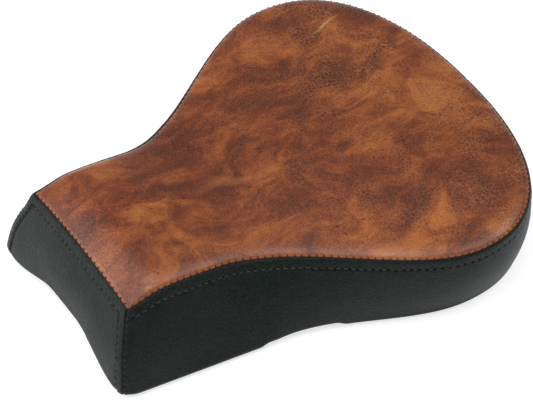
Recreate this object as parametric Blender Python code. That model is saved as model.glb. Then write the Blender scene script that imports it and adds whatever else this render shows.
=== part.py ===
"""Motorcycle passenger seat pad: a sewn cover over moulded foam on an arched base pan.

Metres, +Z up. The narrow squared end faces -Y, the wide round end faces +Y, and the seat
rests on its hem at Z = 0. The left half mirrors the right one.
"""

import math

import bmesh
import bpy
from mathutils import Matrix, Vector

# Overall length, from the foot of the front panel to the back of the round end
LENGTH = 0.376
FRONT = -LENGTH / 2
LEAN = 0.0192
STATIONS_SIDE = 17
STATIONS_ROUND = 11
OUTLINE_STEPS = 120
SHARP_ANGLE = math.radians(40)
MERGE = 0.00005
MERGE_TURNED = 0.00001

# Outlines: half widths in plan, the seam is the top edge and the hem the bottom one
SEAM = {
    "front": FRONT + LEAN,
    "neck": 0.070,
    "growth": 0.0,
    "haunch": FRONT + LEAN + 0.078,
    "wide": 0.157,
    "middle": FRONT + LEAN + 0.255,
    "tip": FRONT + LEAN + 0.349,
}
HEM = {
    "front": FRONT,
    "neck": 0.0915,
    "growth": 0.105,
    "haunch": FRONT + 0.128,
    "wide": 0.147,
    "middle": FRONT + 0.271,
    "tip": FRONT + 0.3734,
}
ROUND_POWER = 2.3

# Heights of the top seam at distances back from its front end
SEAM_HEIGHTS = ((0.0, 0.070), (0.030, 0.0755), (0.115, 0.068), (0.230, 0.068), (0.350, 0.070))
FRONT_CROWN = 0.005
FRONT_CROWN_FADE = 0.060
ROLL_HEIGHT = 0.0055
ROLL_WIDTH = 0.009
DOME_HEIGHT = 0.009
DOME_WIDTH = 0.140

# Cover
LEATHER = 0.0020
VINYL = 0.0016
GAP = 0.0004
WALL_BULGE = 0.0050
HEM_RADIUS = 0.006
HEM_LIP = 0.010
REAR_SEAM_HALF = 0.0003
WALL_LEVELS = (0.0, 0.1, 0.25, 0.42, 0.6, 0.8, 1.0)

# Hem relief in the waist
RELIEF_HEIGHT = 0.0025
RELIEF_START = FRONT + 0.112
RELIEF_END = FRONT + 0.172
RELIEF_RAMP = 0.008

# Base pan
PAN = 0.0030
PAN_INSET = 0.0065
PAN_CLEARANCE = 0.0012
PAN_FRONT_INSET = 0.0125
PAN_LAST_STATION = 1.97
RIM = 0.014
ARCH_SPAN = 0.062
ARCH_FRONT = 0.014
ARCH_MIDDLE = 0.030
ARCH_RISE = 0.110
PAN_COLUMNS = (0.0, 0.16, 0.32, 0.47, 0.61, 0.74, 0.85, 0.93, 1.0)
TOP_COLUMNS = (0.0, 0.16, 0.33, 0.5, 0.66, 0.8, 0.9, 0.96, 1.0)

# Foam
FOAM_CLEARANCE = 0.0020
FOAM_SIDE_GAP = 0.0016
FOAM_EDGE_LEVEL = 0.08
FOAM_LAST_STATION = 1.93

# Carpet pads
CARPET = 0.0030
CARPET_GAP = 0.0022
CARPET_INNER = 0.036
CARPET_MARGIN = 0.046
CARPET_FRONT = -0.135
CARPET_REAR = 0.105
CARPET_REAR_STATION = 1.25
CARPET_ROWS = 15
CARPET_COLUMNS = 6

# Brackets and their fasteners
STEEL = 0.0026
BRACKET_WIDTH = 0.052
BRACKET_LENGTH = 0.034
TONGUE_WIDTH = 0.028
TONGUE_LENGTH = 0.034
JOGGLE = 0.014
FRONT_BRACKET_Y = -0.045
REAR_BRACKET_Y = 0.068
BOLT_SPACING = 0.030
SHANK = 0.0029
BOLT_HEAD = 0.0058
BOLT_HEAD_HEIGHT = 0.0034
BOLT_LENGTH = 0.013
BOLT_TIP = 0.8 * SHANK
BOLT_CHAMFER = 0.3 * SHANK
BOLT_CROWN = 0.6 * BOLT_HEAD
WASHER_OUTER = 0.0075
WASHER_INNER = 0.0033
WASHER_HEIGHT = 0.0012
TEE_FLANGE = 0.0095
TEE_FLANGE_HEIGHT = 0.0014
TEE_BARREL = 0.0045
TEE_BORE = 0.0033
HOLE_CLEARANCE = 0.0004
TONGUE_HOLE = 0.0043
POCKET_RADIUS = 0.0105
POCKET_HEIGHT = 0.0085

# Rubber bumpers, as (x, y) of the pair that stands at +X
BUMPERS = ((0.050, -0.153), (0.077, -0.030), (0.106, 0.100))
BUMPER_RADIUS = 0.008
BUMPER_TOP = 0.0068
BUMPER_CROWN = 0.8 * BUMPER_TOP
BUMPER_HEIGHT = 0.0048
BUMPER_STANDOFF = 0.0013


def smooth(value):
    """A ramp from 0 to 1 with level ends."""
    value = min(max(value, 0.0), 1.0)
    return value * value * (3 - 2 * value)


def mix(a, b, share):
    return a + (b - a) * share


def half_width(edge, y):
    """Half the width of an outline at y, ahead of its widest place."""
    grown = edge["growth"] * (min(y, edge["haunch"]) - edge["front"])
    start = edge["neck"] + grown
    widest = edge["neck"] + edge["growth"] * (edge["haunch"] - edge["front"])
    spread = smooth((y - edge["haunch"]) / (edge["middle"] - edge["haunch"]))
    return start + (edge["wide"] - widest) * spread


def outline(edge, station):
    """The +X half of an outline. Station 0 is the front corner, 1 the widest place, 2 the rear tip."""
    if station <= 1:
        y = mix(edge["front"], edge["middle"], station)
        return Vector((half_width(edge, y), y, 0))
    turn = (station - 1) * math.pi / 2
    power = 2 / ROUND_POWER
    x = edge["wide"] * max(math.cos(turn), 0.0) ** power
    y = edge["middle"] + (edge["tip"] - edge["middle"]) * math.sin(turn) ** power
    return Vector((x, y, 0))


def outward(edge, station):
    """The outline's outward direction in plan."""
    step = 0.01
    ahead = outline(edge, min(station + step, 2.0))
    behind = outline(edge, max(station - step, 0.0))
    along = ahead - behind
    return Vector((along.y, -along.x, 0)).normalized()


def stations(last=2.0):
    """Stations from the front corner to the rear tip, closer together towards the tip."""
    side = [i / STATIONS_SIDE for i in range(STATIONS_SIDE)]
    turned = [1 + (last - 1) * i / STATIONS_ROUND for i in range(STATIONS_ROUND + 1)]
    return side + turned


def distance_inside(edge, x, y, with_front):
    """How far a point in plan lies inside an outline."""
    here = Vector((abs(x), y, 0))
    nearest = here.y - edge["front"] if with_front else 1.0
    points = [outline(edge, 2 * i / OUTLINE_STEPS) for i in range(OUTLINE_STEPS + 1)]
    for start, end in zip(points, points[1:]):
        span = end - start
        share = min(max((here - start).dot(span) / span.length_squared, 0.0), 1.0)
        nearest = min(nearest, (start + span * share - here).length)
    return max(nearest, 0.0)


def seam_height(y):
    back = y - SEAM["front"]
    if back <= 0:
        return SEAM_HEIGHTS[0][1]
    for (start, low), (end, high) in zip(SEAM_HEIGHTS, SEAM_HEIGHTS[1:]):
        if back <= end:
            return mix(low, high, smooth((back - start) / (end - start)))
    return SEAM_HEIGHTS[-1][1]


def front_crown(x, y):
    """The rise of the top across its front end."""
    across = min(abs(x) / SEAM["neck"], 1.0)
    back = max(y - SEAM["front"], 0.0)
    return FRONT_CROWN * (1 - across * across) * math.exp(-back / FRONT_CROWN_FADE)


def top_height(x, y):
    """The height of the leather's outer face."""
    inside = distance_inside(SEAM, x, y, True)
    roll = ROLL_HEIGHT * (1 - math.exp(-inside / ROLL_WIDTH))
    dome = DOME_HEIGHT * smooth(inside / DOME_WIDTH)
    return seam_height(y) + front_crown(x, y) + roll + dome


def relief(y):
    """How far the hem is lifted at y."""
    rise = smooth((y - RELIEF_START) / RELIEF_RAMP)
    fall = smooth((y - RELIEF_END) / RELIEF_RAMP)
    return RELIEF_HEIGHT * (rise - fall)


def arch_height(x, y):
    """The height of the hollow under the seat, which clears the fender."""
    inside = distance_inside(HEM, x, max(y, HEM["front"]), False)
    share = min(max((inside - RIM) / ARCH_SPAN, 0.0), 1.0)
    crown = mix(ARCH_FRONT, ARCH_MIDDLE, smooth((y - HEM["front"]) / ARCH_RISE))
    return mix(relief(y), crown, smooth(share))


def pan_bottom(x, y):
    return VINYL + PAN_CLEARANCE + arch_height(x, y)


def wall_point(station, level, inset=0.0):
    """A point of the side wall, from the seam at level 0 to the top of the hem's curve at level 1."""
    top = outline(SEAM, station)
    foot = outline(HEM, station)
    top.z = seam_height(top.y)
    foot.z = HEM_RADIUS + relief(foot.y)
    bulge = WALL_BULGE * math.sin(math.pi * level)
    normal = outward(SEAM, station).lerp(outward(HEM, station), level).normalized()
    if station == 0:
        normal = Vector((1, -1, 0))
    return top.lerp(foot, level) + normal * (bulge - inset)


def wall_section(station):
    """The side cover from its seam down, round the hem and under the pan."""
    points = [wall_point(station, level) for level in WALL_LEVELS]
    foot = outline(HEM, station)
    lift = relief(foot.y)
    inward = -outward(HEM, station)
    if station == 0:
        inward = Vector((-1, 1, 0))
    for turn in (math.pi / 4, math.pi / 2):
        aside = HEM_RADIUS * (1 - math.cos(turn))
        height = HEM_RADIUS * (1 - math.sin(turn)) + lift
        points.append(foot + inward * aside + Vector((0, 0, height)))
    end = foot + inward * (HEM_RADIUS + HEM_LIP)
    points.append(end + Vector((0, 0, lift)))
    return points


def material(name, colour, roughness, metallic=0.0):
    made = bpy.data.materials.new(name)
    made.use_nodes = True
    shader = made.node_tree.nodes["Principled BSDF"]
    shader.inputs["Base Color"].default_value = (*colour, 1.0)
    shader.inputs["Roughness"].default_value = roughness
    shader.inputs["Metallic"].default_value = metallic
    return made


def add_object(name, mesh_data, look):
    made = bpy.data.objects.new(name, mesh_data)
    bpy.context.collection.objects.link(made)
    made.data.materials.append(look)
    made.parent = bpy.data.objects.get("seat")
    return made


def mesh_from(name, form, up=None):
    """Turns a bmesh into a mesh with smooth round stretches. An open sheet's faces look the way of up."""
    bmesh.ops.recalc_face_normals(form, faces=form.faces)
    if up is not None:
        total = sum((face.normal * face.calc_area() for face in form.faces), Vector())
        if total.dot(up) < 0:
            bmesh.ops.reverse_faces(form, faces=form.faces)
    made = bpy.data.meshes.new(name)
    form.to_mesh(made)
    form.free()
    made.shade_smooth()
    made.set_sharp_from_angle(angle=SHARP_ANGLE)
    return made


def join_rows(form, rows, closed=False):
    """Lays faces between rows of points. A row's points run the same way in every row."""
    verts = [[form.verts.new(point) for point in row] for row in rows]
    for row, following in zip(verts, verts[1:]):
        count = len(row)
        for i in range(count if closed else count - 1):
            j = (i + 1) % count
            form.faces.new((row[i], row[j], following[j], following[i]))
    return verts


def skin(name, rows, thickness, look, up):
    """A sheet of even thickness behind the rows of its outer face. up is a direction that face looks in."""
    form = bmesh.new()
    join_rows(form, rows)
    bmesh.ops.remove_doubles(form, verts=form.verts, dist=MERGE)
    bmesh.ops.dissolve_degenerate(form, edges=form.edges, dist=MERGE)
    piece = add_object(name, mesh_from(name, form, up), look)
    solidify = piece.modifiers.new("thickness", "SOLIDIFY")
    solidify.thickness = thickness
    solidify.offset = -1
    solidify.use_even_offset = True
    return piece


def mirrored(values):
    """The columns of a full width from those of its +X half."""
    return [-value for value in reversed(values[1:])] + list(values)


def turned(name, profile, look, segments=16):
    """A solid turned about Z from (radius, height) corners. A corner at radius 0 lies on the axis."""
    form = bmesh.new()
    rows = []
    for radius, height in profile:
        ring = []
        for i in range(segments):
            turn = 2 * math.pi * i / segments
            ring.append(Vector((radius * math.cos(turn), radius * math.sin(turn), height)))
        rows.append(ring)
    if profile[0][0] > 0:
        rows.append(rows[0])
    join_rows(form, rows, closed=True)
    bmesh.ops.remove_doubles(form, verts=form.verts, dist=MERGE_TURNED)
    bmesh.ops.dissolve_degenerate(form, edges=form.edges, dist=MERGE_TURNED)
    return add_object(name, mesh_from(name, form), look)


def cutter(name, radius, height, where):
    """A hidden upright cylinder that a Boolean takes away."""
    form = bmesh.new()
    bmesh.ops.create_cone(
        form,
        cap_ends=True,
        segments=20,
        radius1=radius,
        radius2=radius,
        depth=height,
        matrix=Matrix.Translation(where),
    )
    made = bpy.data.objects.new(name, mesh_from(name, form))
    bpy.context.collection.objects.link(made)
    made.hide_render = True
    made.display_type = "WIRE"
    return made


def cut(piece, tool):
    taken = piece.modifiers.new(tool.name, "BOOLEAN")
    taken.operation = "DIFFERENCE"
    taken.object = tool


def make_top_panel(leather):
    """The top of the cover, inside the upper edge of the side panels."""
    inset = VINYL + GAP
    rows = []
    for station in stations():
        edge = outline(SEAM, station) - outward(SEAM, station) * inset
        if station == 0:
            edge = outline(SEAM, 0) + Vector((-inset, inset, 0))
        if station == 2:
            edge.x = 0
        row = []
        for share in mirrored(TOP_COLUMNS):
            x = edge.x * share
            row.append(Vector((x, edge.y, top_height(x, edge.y))))
        rows.append(row)
    skin("top_panel", rows, LEATHER, leather, Vector((0, 0, 1)))


def make_side_panels(vinyl):
    """The two side panels, which meet in a seam at the middle of the round end."""
    for name, side in (("side_panel_right", 1), ("side_panel_left", -1)):
        rows = []
        for station in stations():
            row = wall_section(station)
            for point in row:
                point.x = side * max(point.x, REAR_SEAM_HALF)
            rows.append(row)
        skin(name, rows, VINYL, vinyl, Vector((side, 0, 0)))


def make_front_panel(vinyl):
    """The front of the cover, between the two side panels."""
    corner = wall_section(0)
    inset = VINYL + GAP
    rows = []
    for point in corner:
        row = []
        width = point.x - inset
        level = min(max((corner[0].z - point.z) / corner[0].z, 0.0), 1.0)
        for share in mirrored(PAN_COLUMNS):
            x = width * share
            rise = mix(front_crown(x, point.y), arch_height(x, HEM["front"]), level)
            if point is corner[0]:
                rise = front_crown(x, SEAM["front"])
            lean = LEAN * rise / corner[0].z * level
            row.append(Vector((x, point.y + lean, point.z + rise)))
        rows.append(row)
    skin("front_panel", rows, VINYL, vinyl, Vector((0, -1, 0)))


def make_foam(look):
    """The moulded foam, which fills the cover above the pan."""
    side_inset = VINYL + FOAM_SIDE_GAP
    top_inset = LEATHER + 2 * GAP
    rows = []
    for station in stations(FOAM_LAST_STATION):
        edge = wall_point(station, FOAM_EDGE_LEVEL, side_inset)
        half = []
        for share in TOP_COLUMNS[:-1]:
            x = edge.x * share
            half.append(Vector((x, edge.y, top_height(x, edge.y) - top_inset)))
        for level in WALL_LEVELS[1:-1]:
            half.append(wall_point(station, level, side_inset))
        foot = wall_point(station, 1.0, side_inset + PAN_INSET)
        for share in reversed(PAN_COLUMNS):
            x = foot.x * share
            point = Vector((x, foot.y, pan_bottom(x, foot.y) + PAN + FOAM_CLEARANCE))
            if station == 0:
                point.y += LEAN * point.z / SEAM_HEIGHTS[0][1]
            half.append(point)
        other = [Vector((-point.x, point.y, point.z)) for point in reversed(half[1:-1])]
        rows.append(half + other)
    form = bmesh.new()
    verts = join_rows(form, rows, closed=True)
    for ring in (verts[0], verts[-1]):
        form.faces.new(ring)
    bmesh.ops.triangulate(form, faces=[face for face in form.faces if len(face.verts) > 4])
    return add_object("foam_cushion", mesh_from("foam_cushion", form), look)


def make_base_pan(look):
    """The arched pan, with its flat rim just above the hem."""
    rows = []
    for station in stations(PAN_LAST_STATION):
        edge = outline(HEM, station) - outward(HEM, station) * PAN_INSET
        if station == 0:
            edge.y = HEM["front"] + PAN_FRONT_INSET
        row = []
        for share in mirrored(PAN_COLUMNS):
            x = edge.x * share
            row.append(Vector((x, edge.y, pan_bottom(x, edge.y))))
        rows.append(row)
    return skin("base_pan", rows, PAN, look, Vector((0, 0, -1)))


def make_carpet_pads(look):
    """Two carpet pads on the flanks of the arch, which keep the pan off the paint."""
    for name, side in (("carpet_pad_right", 1), ("carpet_pad_left", -1)):
        rows = []
        for i in range(CARPET_ROWS + 1):
            y = mix(CARPET_FRONT, CARPET_REAR, i / CARPET_ROWS)
            outer = half_width(HEM, y) - CARPET_MARGIN
            if y > HEM["middle"]:
                outer = outline(HEM, CARPET_REAR_STATION).x - CARPET_MARGIN
            row = []
            for j in range(CARPET_COLUMNS + 1):
                x = mix(CARPET_INNER, outer, j / CARPET_COLUMNS)
                row.append(Vector((side * x, y, pan_bottom(x, y) - CARPET_GAP - CARPET)))
            rows.append(row)
        skin(name, rows, CARPET, look, Vector((0, 0, -1)))


def make_bracket(name, y, way, look):
    """A bolted strap whose tongue steps down and runs off towards -Y or +Y."""
    top = pan_bottom(0, y) - GAP
    half = BRACKET_LENGTH / 2
    step = half + JOGGLE
    end = step + TONGUE_LENGTH
    spine = (
        (-half, 0.0, BRACKET_WIDTH),
        (half, 0.0, BRACKET_WIDTH),
        (step, -JOGGLE, TONGUE_WIDTH),
        (end - TONGUE_WIDTH / 3, -JOGGLE, TONGUE_WIDTH),
        (end, -JOGGLE, TONGUE_WIDTH / 2),
    )
    rows = []
    for along, down, width in spine:
        ring = []
        for side, depth in ((-1, 0), (1, 0), (1, STEEL), (-1, STEEL)):
            ring.append(Vector((side * width / 2, y + way * along, top + down - depth)))
        rows.append(ring)
    form = bmesh.new()
    verts = join_rows(form, rows, closed=True)
    form.faces.new(verts[0])
    form.faces.new(verts[-1])
    piece = add_object(name, mesh_from(name, form), look)
    hole_y = y + way * (step + TONGUE_LENGTH / 2)
    where = Vector((0, hole_y, top - JOGGLE - STEEL / 2))
    cut(piece, cutter(name + "_tongue_cut", TONGUE_HOLE, 4 * STEEL, where))
    return piece


def make_fastening(prefix, x, y, pieces, zinc):
    """A bolt from below, its washer, and the tee nut that it pulls into the pan."""
    bracket, pan, foam = pieces
    roof = pan_bottom(x, y)
    floor = roof - GAP - STEEL
    spot = Vector((x, y, floor + STEEL / 2))
    cut(bracket, cutter(prefix + "_bracket_cut", WASHER_INNER, 3 * STEEL, spot))
    spot = Vector((x, y, roof + PAN / 2))
    cut(pan, cutter(prefix + "_pan_cut", TEE_BARREL + HOLE_CLEARANCE, 3 * PAN, spot))
    spot = Vector((x, y, roof + PAN + POCKET_HEIGHT / 2 - GAP))
    cut(foam, cutter(prefix + "_foam_cut", POCKET_RADIUS, POCKET_HEIGHT, spot))

    flange = PAN + GAP
    tee = turned(
        prefix + "_tee_nut",
        (
            (TEE_BORE, GAP),
            (TEE_BARREL, GAP),
            (TEE_BARREL, flange),
            (TEE_FLANGE, flange),
            (TEE_FLANGE, flange + TEE_FLANGE_HEIGHT),
            (TEE_BORE, flange + TEE_FLANGE_HEIGHT),
        ),
        zinc,
    )
    tee.location = (x, y, roof)
    washer = turned(
        prefix + "_washer",
        (
            (WASHER_INNER, 0.0),
            (WASHER_OUTER, 0.0),
            (WASHER_OUTER, -WASHER_HEIGHT),
            (WASHER_INNER, -WASHER_HEIGHT),
        ),
        zinc,
    )
    washer.location = (x, y, floor - GAP)
    bolt = turned(
        prefix + "_bolt",
        (
            (0.0, BOLT_LENGTH),
            (BOLT_TIP, BOLT_LENGTH),
            (SHANK, BOLT_LENGTH - BOLT_CHAMFER),
            (SHANK, 0.0),
            (BOLT_HEAD, 0.0),
            (BOLT_HEAD, -BOLT_HEAD_HEIGHT / 2),
            (BOLT_CROWN, -BOLT_HEAD_HEIGHT),
            (0.0, -BOLT_HEAD_HEIGHT),
        ),
        zinc,
    )
    bolt.location = (x, y, floor - WASHER_HEIGHT - 2 * GAP)


def make_bumpers(look):
    """Rubber bumpers that stand square to the pan's underside."""
    step = 0.004
    for i, (x, y) in enumerate(BUMPERS):
        for name, side in (("right", 1), ("left", -1)):
            across = pan_bottom(x + step, y) - pan_bottom(x - step, y)
            along = pan_bottom(x, y + step) - pan_bottom(x, y - step)
            down = Vector((side * across / (2 * step), along / (2 * step), -1)).normalized()
            piece = turned(
                f"bumper_{name}_{i + 1}",
                (
                    (0.0, 0.0),
                    (BUMPER_RADIUS, 0.0),
                    (BUMPER_RADIUS, BUMPER_HEIGHT / 2),
                    (BUMPER_TOP, BUMPER_HEIGHT * 0.9),
                    (BUMPER_CROWN, BUMPER_HEIGHT),
                    (0.0, BUMPER_HEIGHT),
                ),
                look,
            )
            piece.rotation_mode = "QUATERNION"
            piece.rotation_quaternion = down.to_track_quat("Z", "Y")
            piece.location = Vector((side * x, y, pan_bottom(x, y))) + down * BUMPER_STANDOFF


def main():
    for leftover in list(bpy.data.objects):
        bpy.data.objects.remove(leftover)
    seat = bpy.data.objects.new("seat", None)
    bpy.context.collection.objects.link(seat)

    leather = material("brown_leather", (0.21, 0.062, 0.031), 0.42)
    vinyl = material("black_vinyl", (0.021, 0.023, 0.021), 0.55)
    foam_look = material("foam", (0.62, 0.57, 0.42), 0.95)
    plastic = material("pan_plastic", (0.018, 0.018, 0.019), 0.5)
    carpet = material("carpet", (0.03, 0.03, 0.032), 0.98)
    steel = material("bracket_steel", (0.08, 0.08, 0.085), 0.4, 0.8)
    zinc = material("zinc_steel", (0.6, 0.6, 0.58), 0.35, 1.0)
    rubber = material("rubber", (0.02, 0.02, 0.02), 0.75)

    make_top_panel(leather)
    make_side_panels(vinyl)
    make_front_panel(vinyl)
    foam = make_foam(foam_look)
    pan = make_base_pan(plastic)
    make_carpet_pads(carpet)
    for name, y, way in (("front", FRONT_BRACKET_Y, -1), ("rear", REAR_BRACKET_Y, 1)):
        bracket = make_bracket(name + "_bracket", y, way, steel)
        for side, x in (("right", BOLT_SPACING / 2), ("left", -BOLT_SPACING / 2)):
            prefix = name + "_" + side
            make_fastening(prefix, x, y, (bracket, pan, foam), zinc)
    make_bumpers(rubber)


main()
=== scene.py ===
"""Looks of the passenger seat pad: sewn cover, stitching, underside, materials, camera and light."""

import math
import random

import bmesh
import bpy
import numpy as np
from mathutils import Matrix, Vector


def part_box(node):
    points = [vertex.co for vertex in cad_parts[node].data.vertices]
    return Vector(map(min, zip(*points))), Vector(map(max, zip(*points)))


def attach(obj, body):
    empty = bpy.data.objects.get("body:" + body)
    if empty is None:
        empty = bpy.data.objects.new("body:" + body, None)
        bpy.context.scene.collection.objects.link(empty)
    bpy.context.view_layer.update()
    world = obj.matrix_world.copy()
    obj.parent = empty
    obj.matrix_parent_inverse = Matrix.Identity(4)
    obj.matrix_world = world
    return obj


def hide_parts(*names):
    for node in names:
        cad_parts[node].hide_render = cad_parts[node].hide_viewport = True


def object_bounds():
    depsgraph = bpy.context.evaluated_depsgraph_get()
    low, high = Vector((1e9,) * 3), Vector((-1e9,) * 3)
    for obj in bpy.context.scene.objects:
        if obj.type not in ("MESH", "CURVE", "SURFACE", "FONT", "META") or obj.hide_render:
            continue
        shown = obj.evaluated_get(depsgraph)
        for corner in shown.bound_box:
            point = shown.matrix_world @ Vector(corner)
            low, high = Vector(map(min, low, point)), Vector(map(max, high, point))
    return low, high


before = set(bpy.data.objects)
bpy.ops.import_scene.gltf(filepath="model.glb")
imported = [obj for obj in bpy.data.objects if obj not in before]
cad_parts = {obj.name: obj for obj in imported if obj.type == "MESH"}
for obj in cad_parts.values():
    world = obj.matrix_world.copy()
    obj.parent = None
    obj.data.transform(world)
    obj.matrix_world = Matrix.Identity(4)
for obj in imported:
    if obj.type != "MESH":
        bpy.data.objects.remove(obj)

CAD_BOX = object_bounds()
FRONT = CAD_BOX[0].y
BODY = "root"

# Driving dimensions, in metres, as part.py has them
LEAN = 0.0192
SEAM = {
    "front": FRONT + LEAN,
    "neck": 0.070,
    "growth": 0.0,
    "haunch": FRONT + LEAN + 0.078,
    "wide": 0.157,
    "middle": FRONT + LEAN + 0.255,
    "tip": FRONT + LEAN + 0.349,
}
HEM = {
    "front": FRONT,
    "neck": 0.0915,
    "growth": 0.105,
    "haunch": FRONT + 0.128,
    "wide": 0.147,
    "middle": FRONT + 0.271,
    "tip": FRONT + 0.3734,
}
ROUND_POWER = 2.3
SEAM_HEIGHTS = ((0.0, 0.070), (0.030, 0.0755), (0.115, 0.068), (0.230, 0.068), (0.350, 0.070))
FRONT_CROWN = 0.005
FRONT_CROWN_FADE = 0.060
ROLL_HEIGHT = 0.0063
ROLL_WIDTH = 0.0068
DOME_HEIGHT = 0.009
DOME_WIDTH = 0.140
WALL_BULGE = 0.0050
HEM_RADIUS = 0.006
HEM_LIP = 0.010
RELIEF_HEIGHT = 0.0025
RELIEF_START = FRONT + 0.112
RELIEF_END = FRONT + 0.172
RELIEF_RAMP = 0.008
VINYL = 0.0016
LEATHER = 0.0020
PAN = 0.0030
PAN_CLEARANCE = 0.0012
PAN_INSET = 0.0065
PAN_FRONT_INSET = 0.0125
RIM = 0.014
ARCH_SPAN = 0.062
ARCH_FRONT = 0.014
ARCH_MIDDLE = 0.030
ARCH_RISE = 0.110

# Sewing
SEAM_PITCH = 0.0054
TOPSTITCH_PITCH = 0.0057
BAND = 0.0088
BAND_RISE = 0.0008
THREAD = 0.00048
TICK_REACH = 0.0016
TICK_SUNK = 0.0005
STITCH_SHARES = np.array((0.10, 0.20, 0.35, 0.50, 0.65, 0.80, 0.90))
CORNER_PHASE = 0.0021
VINYL_SHEET = 0.0012

# How deep the sewing works into the cover, and how far each of its marks reaches
DIVE, DIVE_REACH = 0.0011, 0.0012
PULL, PULL_REACH = 0.00042, 0.0022
FOLD, FOLD_REACH, REAR_FOLD_REACH = 0.0015, 0.0030, 0.0021
GROOVE, GROOVE_REACH = 0.00055, 0.0009
PUCKER, PUCKER_REACH, PUCKER_PERIOD = 0.00030, 0.0040, 0.0061
DIMPLE, DIMPLE_REACH = 0.00095, 0.0013
WAVE, WAVE_PERIOD = 0.0004, 0.035
GATHER, GATHER_PERIOD = 0.0007, 0.011

# The front corners' ridge blends into the walls over this share of a side
CORNER_BLEND = 1 / 17
CORNER_TUCK = 0.0009
CORNER_ROUND = 0.0016
CORNER_LIFT = 0.0014

# Nothing of a wall comes lower than this
REST = 0.0010

# Marks on the hide: where (x, y), turn in degrees, half length, half width
SCAR = ((-0.106, 0.116), -69, 0.019, 0.0020)
CREASE = ((0.008, -0.038), 72, 0.046, 0.0060)

# The cover is swelled by a cloth simulation that starts from this much less
SWELL = 0.0014
SWELL_CAP = 0.0060
SIM_FRAMES = 20
EVENING_PASSES = 24
CLOTH = dict(quality=6, mass=0.3, use_pressure=True, uniform_pressure_force=4.0, vertex_group_mass="pins")
CLOTH.update(tension_stiffness=7, compression_stiffness=7, shear_stiffness=3, bending_stiffness=0.6)

# The foam stands clear of the cover by a share of its size in plan, and by a drop in height
FOAM_SHARE = 0.965
FOAM_DROP = 0.0048
FOAM_MIDDLE = 0.03

# The leather's rings close on this stretch of the centre line
SPINE_FRONT = SEAM["front"] + 0.062
SPINE_BACK = SEAM["middle"] + 0.012
FRONT_ARCH_REACH = 0.0885

# Bolts: shank and socket radii, the head's depth, and how far above the CAD bolt's foot its head seats
SHANK = 0.0029
SOCKET = 0.0023
HEAD = 0.0033
HEAD_SEAT = 0.0034
THREAD_TURNS = 9

# Staples: half width, pitch along the edge, and how far in from it they sit
STAPLE = 0.0045
STAPLE_PITCH = 0.0135
STAPLE_INSET = 0.0118

# The camera, and lights by name, place, aim, size and power
AZIMUTH = 57.7
ELEVATION = 45.4
AIM = Vector((0.0519, -0.0388, 0.0952))
DISTANCE = 1.8375
LENS = 168.9
LIGHTS = (
    ("overhead", (0.30, -0.30, 1.9), (0, 0, 0), (1.3, 1.3), 17),
    ("left_strip", (-1.20, -0.95, 1.8), (0, 0, 0), (0.7, 0.7), 8),
    ("back_strip", (0.60, 1.20, 1.8), (0, 0, 0), (1.3, 0.7), 14),
    ("key", (-0.9, -1.9, 1.1), (0, 0, 0.05), (1.2, 1.0), 35),
)
FLOOR_REACH = 6.0


# --- shape ---------------------------------------------------------------


def smooth(value):
    value = np.clip(value, 0.0, 1.0)
    return value * value * (3 - 2 * value)


def mix(a, b, share):
    return a + (b - a) * share


def half_width(edge, y):
    grown = edge["growth"] * (np.minimum(y, edge["haunch"]) - edge["front"])
    widest = edge["neck"] + edge["growth"] * (edge["haunch"] - edge["front"])
    spread = smooth((y - edge["haunch"]) / (edge["middle"] - edge["haunch"]))
    return edge["neck"] + grown + (edge["wide"] - widest) * spread


def outline(edge, station):
    """The +X half of an outline. Station 0 is the front corner, 1 the widest place, 2 the rear tip."""
    station = np.asarray(station, float)
    side_y = mix(edge["front"], edge["middle"], np.minimum(station, 1.0))
    turn = np.clip(station - 1, 0, 1) * math.pi / 2
    power = 2 / ROUND_POWER
    round_x = edge["wide"] * np.maximum(np.cos(turn), 0.0) ** power
    round_y = edge["middle"] + (edge["tip"] - edge["middle"]) * np.sin(turn) ** power
    x = np.where(station <= 1, half_width(edge, side_y), round_x)
    y = np.where(station <= 1, side_y, round_y)
    return np.stack([x, y], -1)


def outward(edge, station):
    step = 0.004
    ahead = outline(edge, np.minimum(station + step, 2.0))
    behind = outline(edge, np.maximum(station - step, 0.0))
    along = ahead - behind
    normal = np.stack([along[..., 1], -along[..., 0]], -1)
    return normal / np.linalg.norm(normal, axis=-1, keepdims=True)


def distance_inside(edge, x, y, with_front):
    """How far points in plan lie inside an outline."""
    here = np.stack([np.abs(x), y], -1)
    nearest = (y - edge["front"]) if with_front else np.full(np.shape(x), 1.0)
    points = outline(edge, np.linspace(0, 2, 241))
    for start, end in zip(points, points[1:]):
        span = end - start
        share = np.clip(((here - start) @ span) / (span @ span), 0, 1)
        gap = here - start - share[..., None] * span
        nearest = np.minimum(nearest, np.hypot(gap[..., 0], gap[..., 1]))
    return np.maximum(nearest, 0.0)


def seam_height(y):
    back = np.maximum(y - SEAM["front"], 0)
    height = np.full(np.shape(y), SEAM_HEIGHTS[0][1])
    for (start, low), (end, high) in zip(SEAM_HEIGHTS, SEAM_HEIGHTS[1:]):
        height = height + (high - low) * smooth((back - start) / (end - start))
    return height


def front_crown(x, y):
    across = np.minimum(np.abs(x) / SEAM["neck"], 1.0)
    back = np.maximum(y - SEAM["front"], 0.0)
    return FRONT_CROWN * (1 - across**2) * np.exp(-back / FRONT_CROWN_FADE)


def top_height(x, y, less=0.0):
    """The height of the leather's outer face; less takes that much off its middle."""
    inside = distance_inside(SEAM, x, y, True)
    aside = distance_inside(SEAM, x, y, False)
    behind = np.maximum(y - SEAM["front"], 0.0)
    roll = ROLL_HEIGHT * (1 - np.exp(-aside / ROLL_WIDTH)) * (1 - np.exp(-behind / ROLL_WIDTH))
    dome = DOME_HEIGHT * smooth(inside / DOME_WIDTH)
    taken = less * (1 - np.exp(-inside / (1.6 * ROLL_WIDTH)))
    return seam_height(y) + front_crown(x, y) + roll + dome - taken


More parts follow.
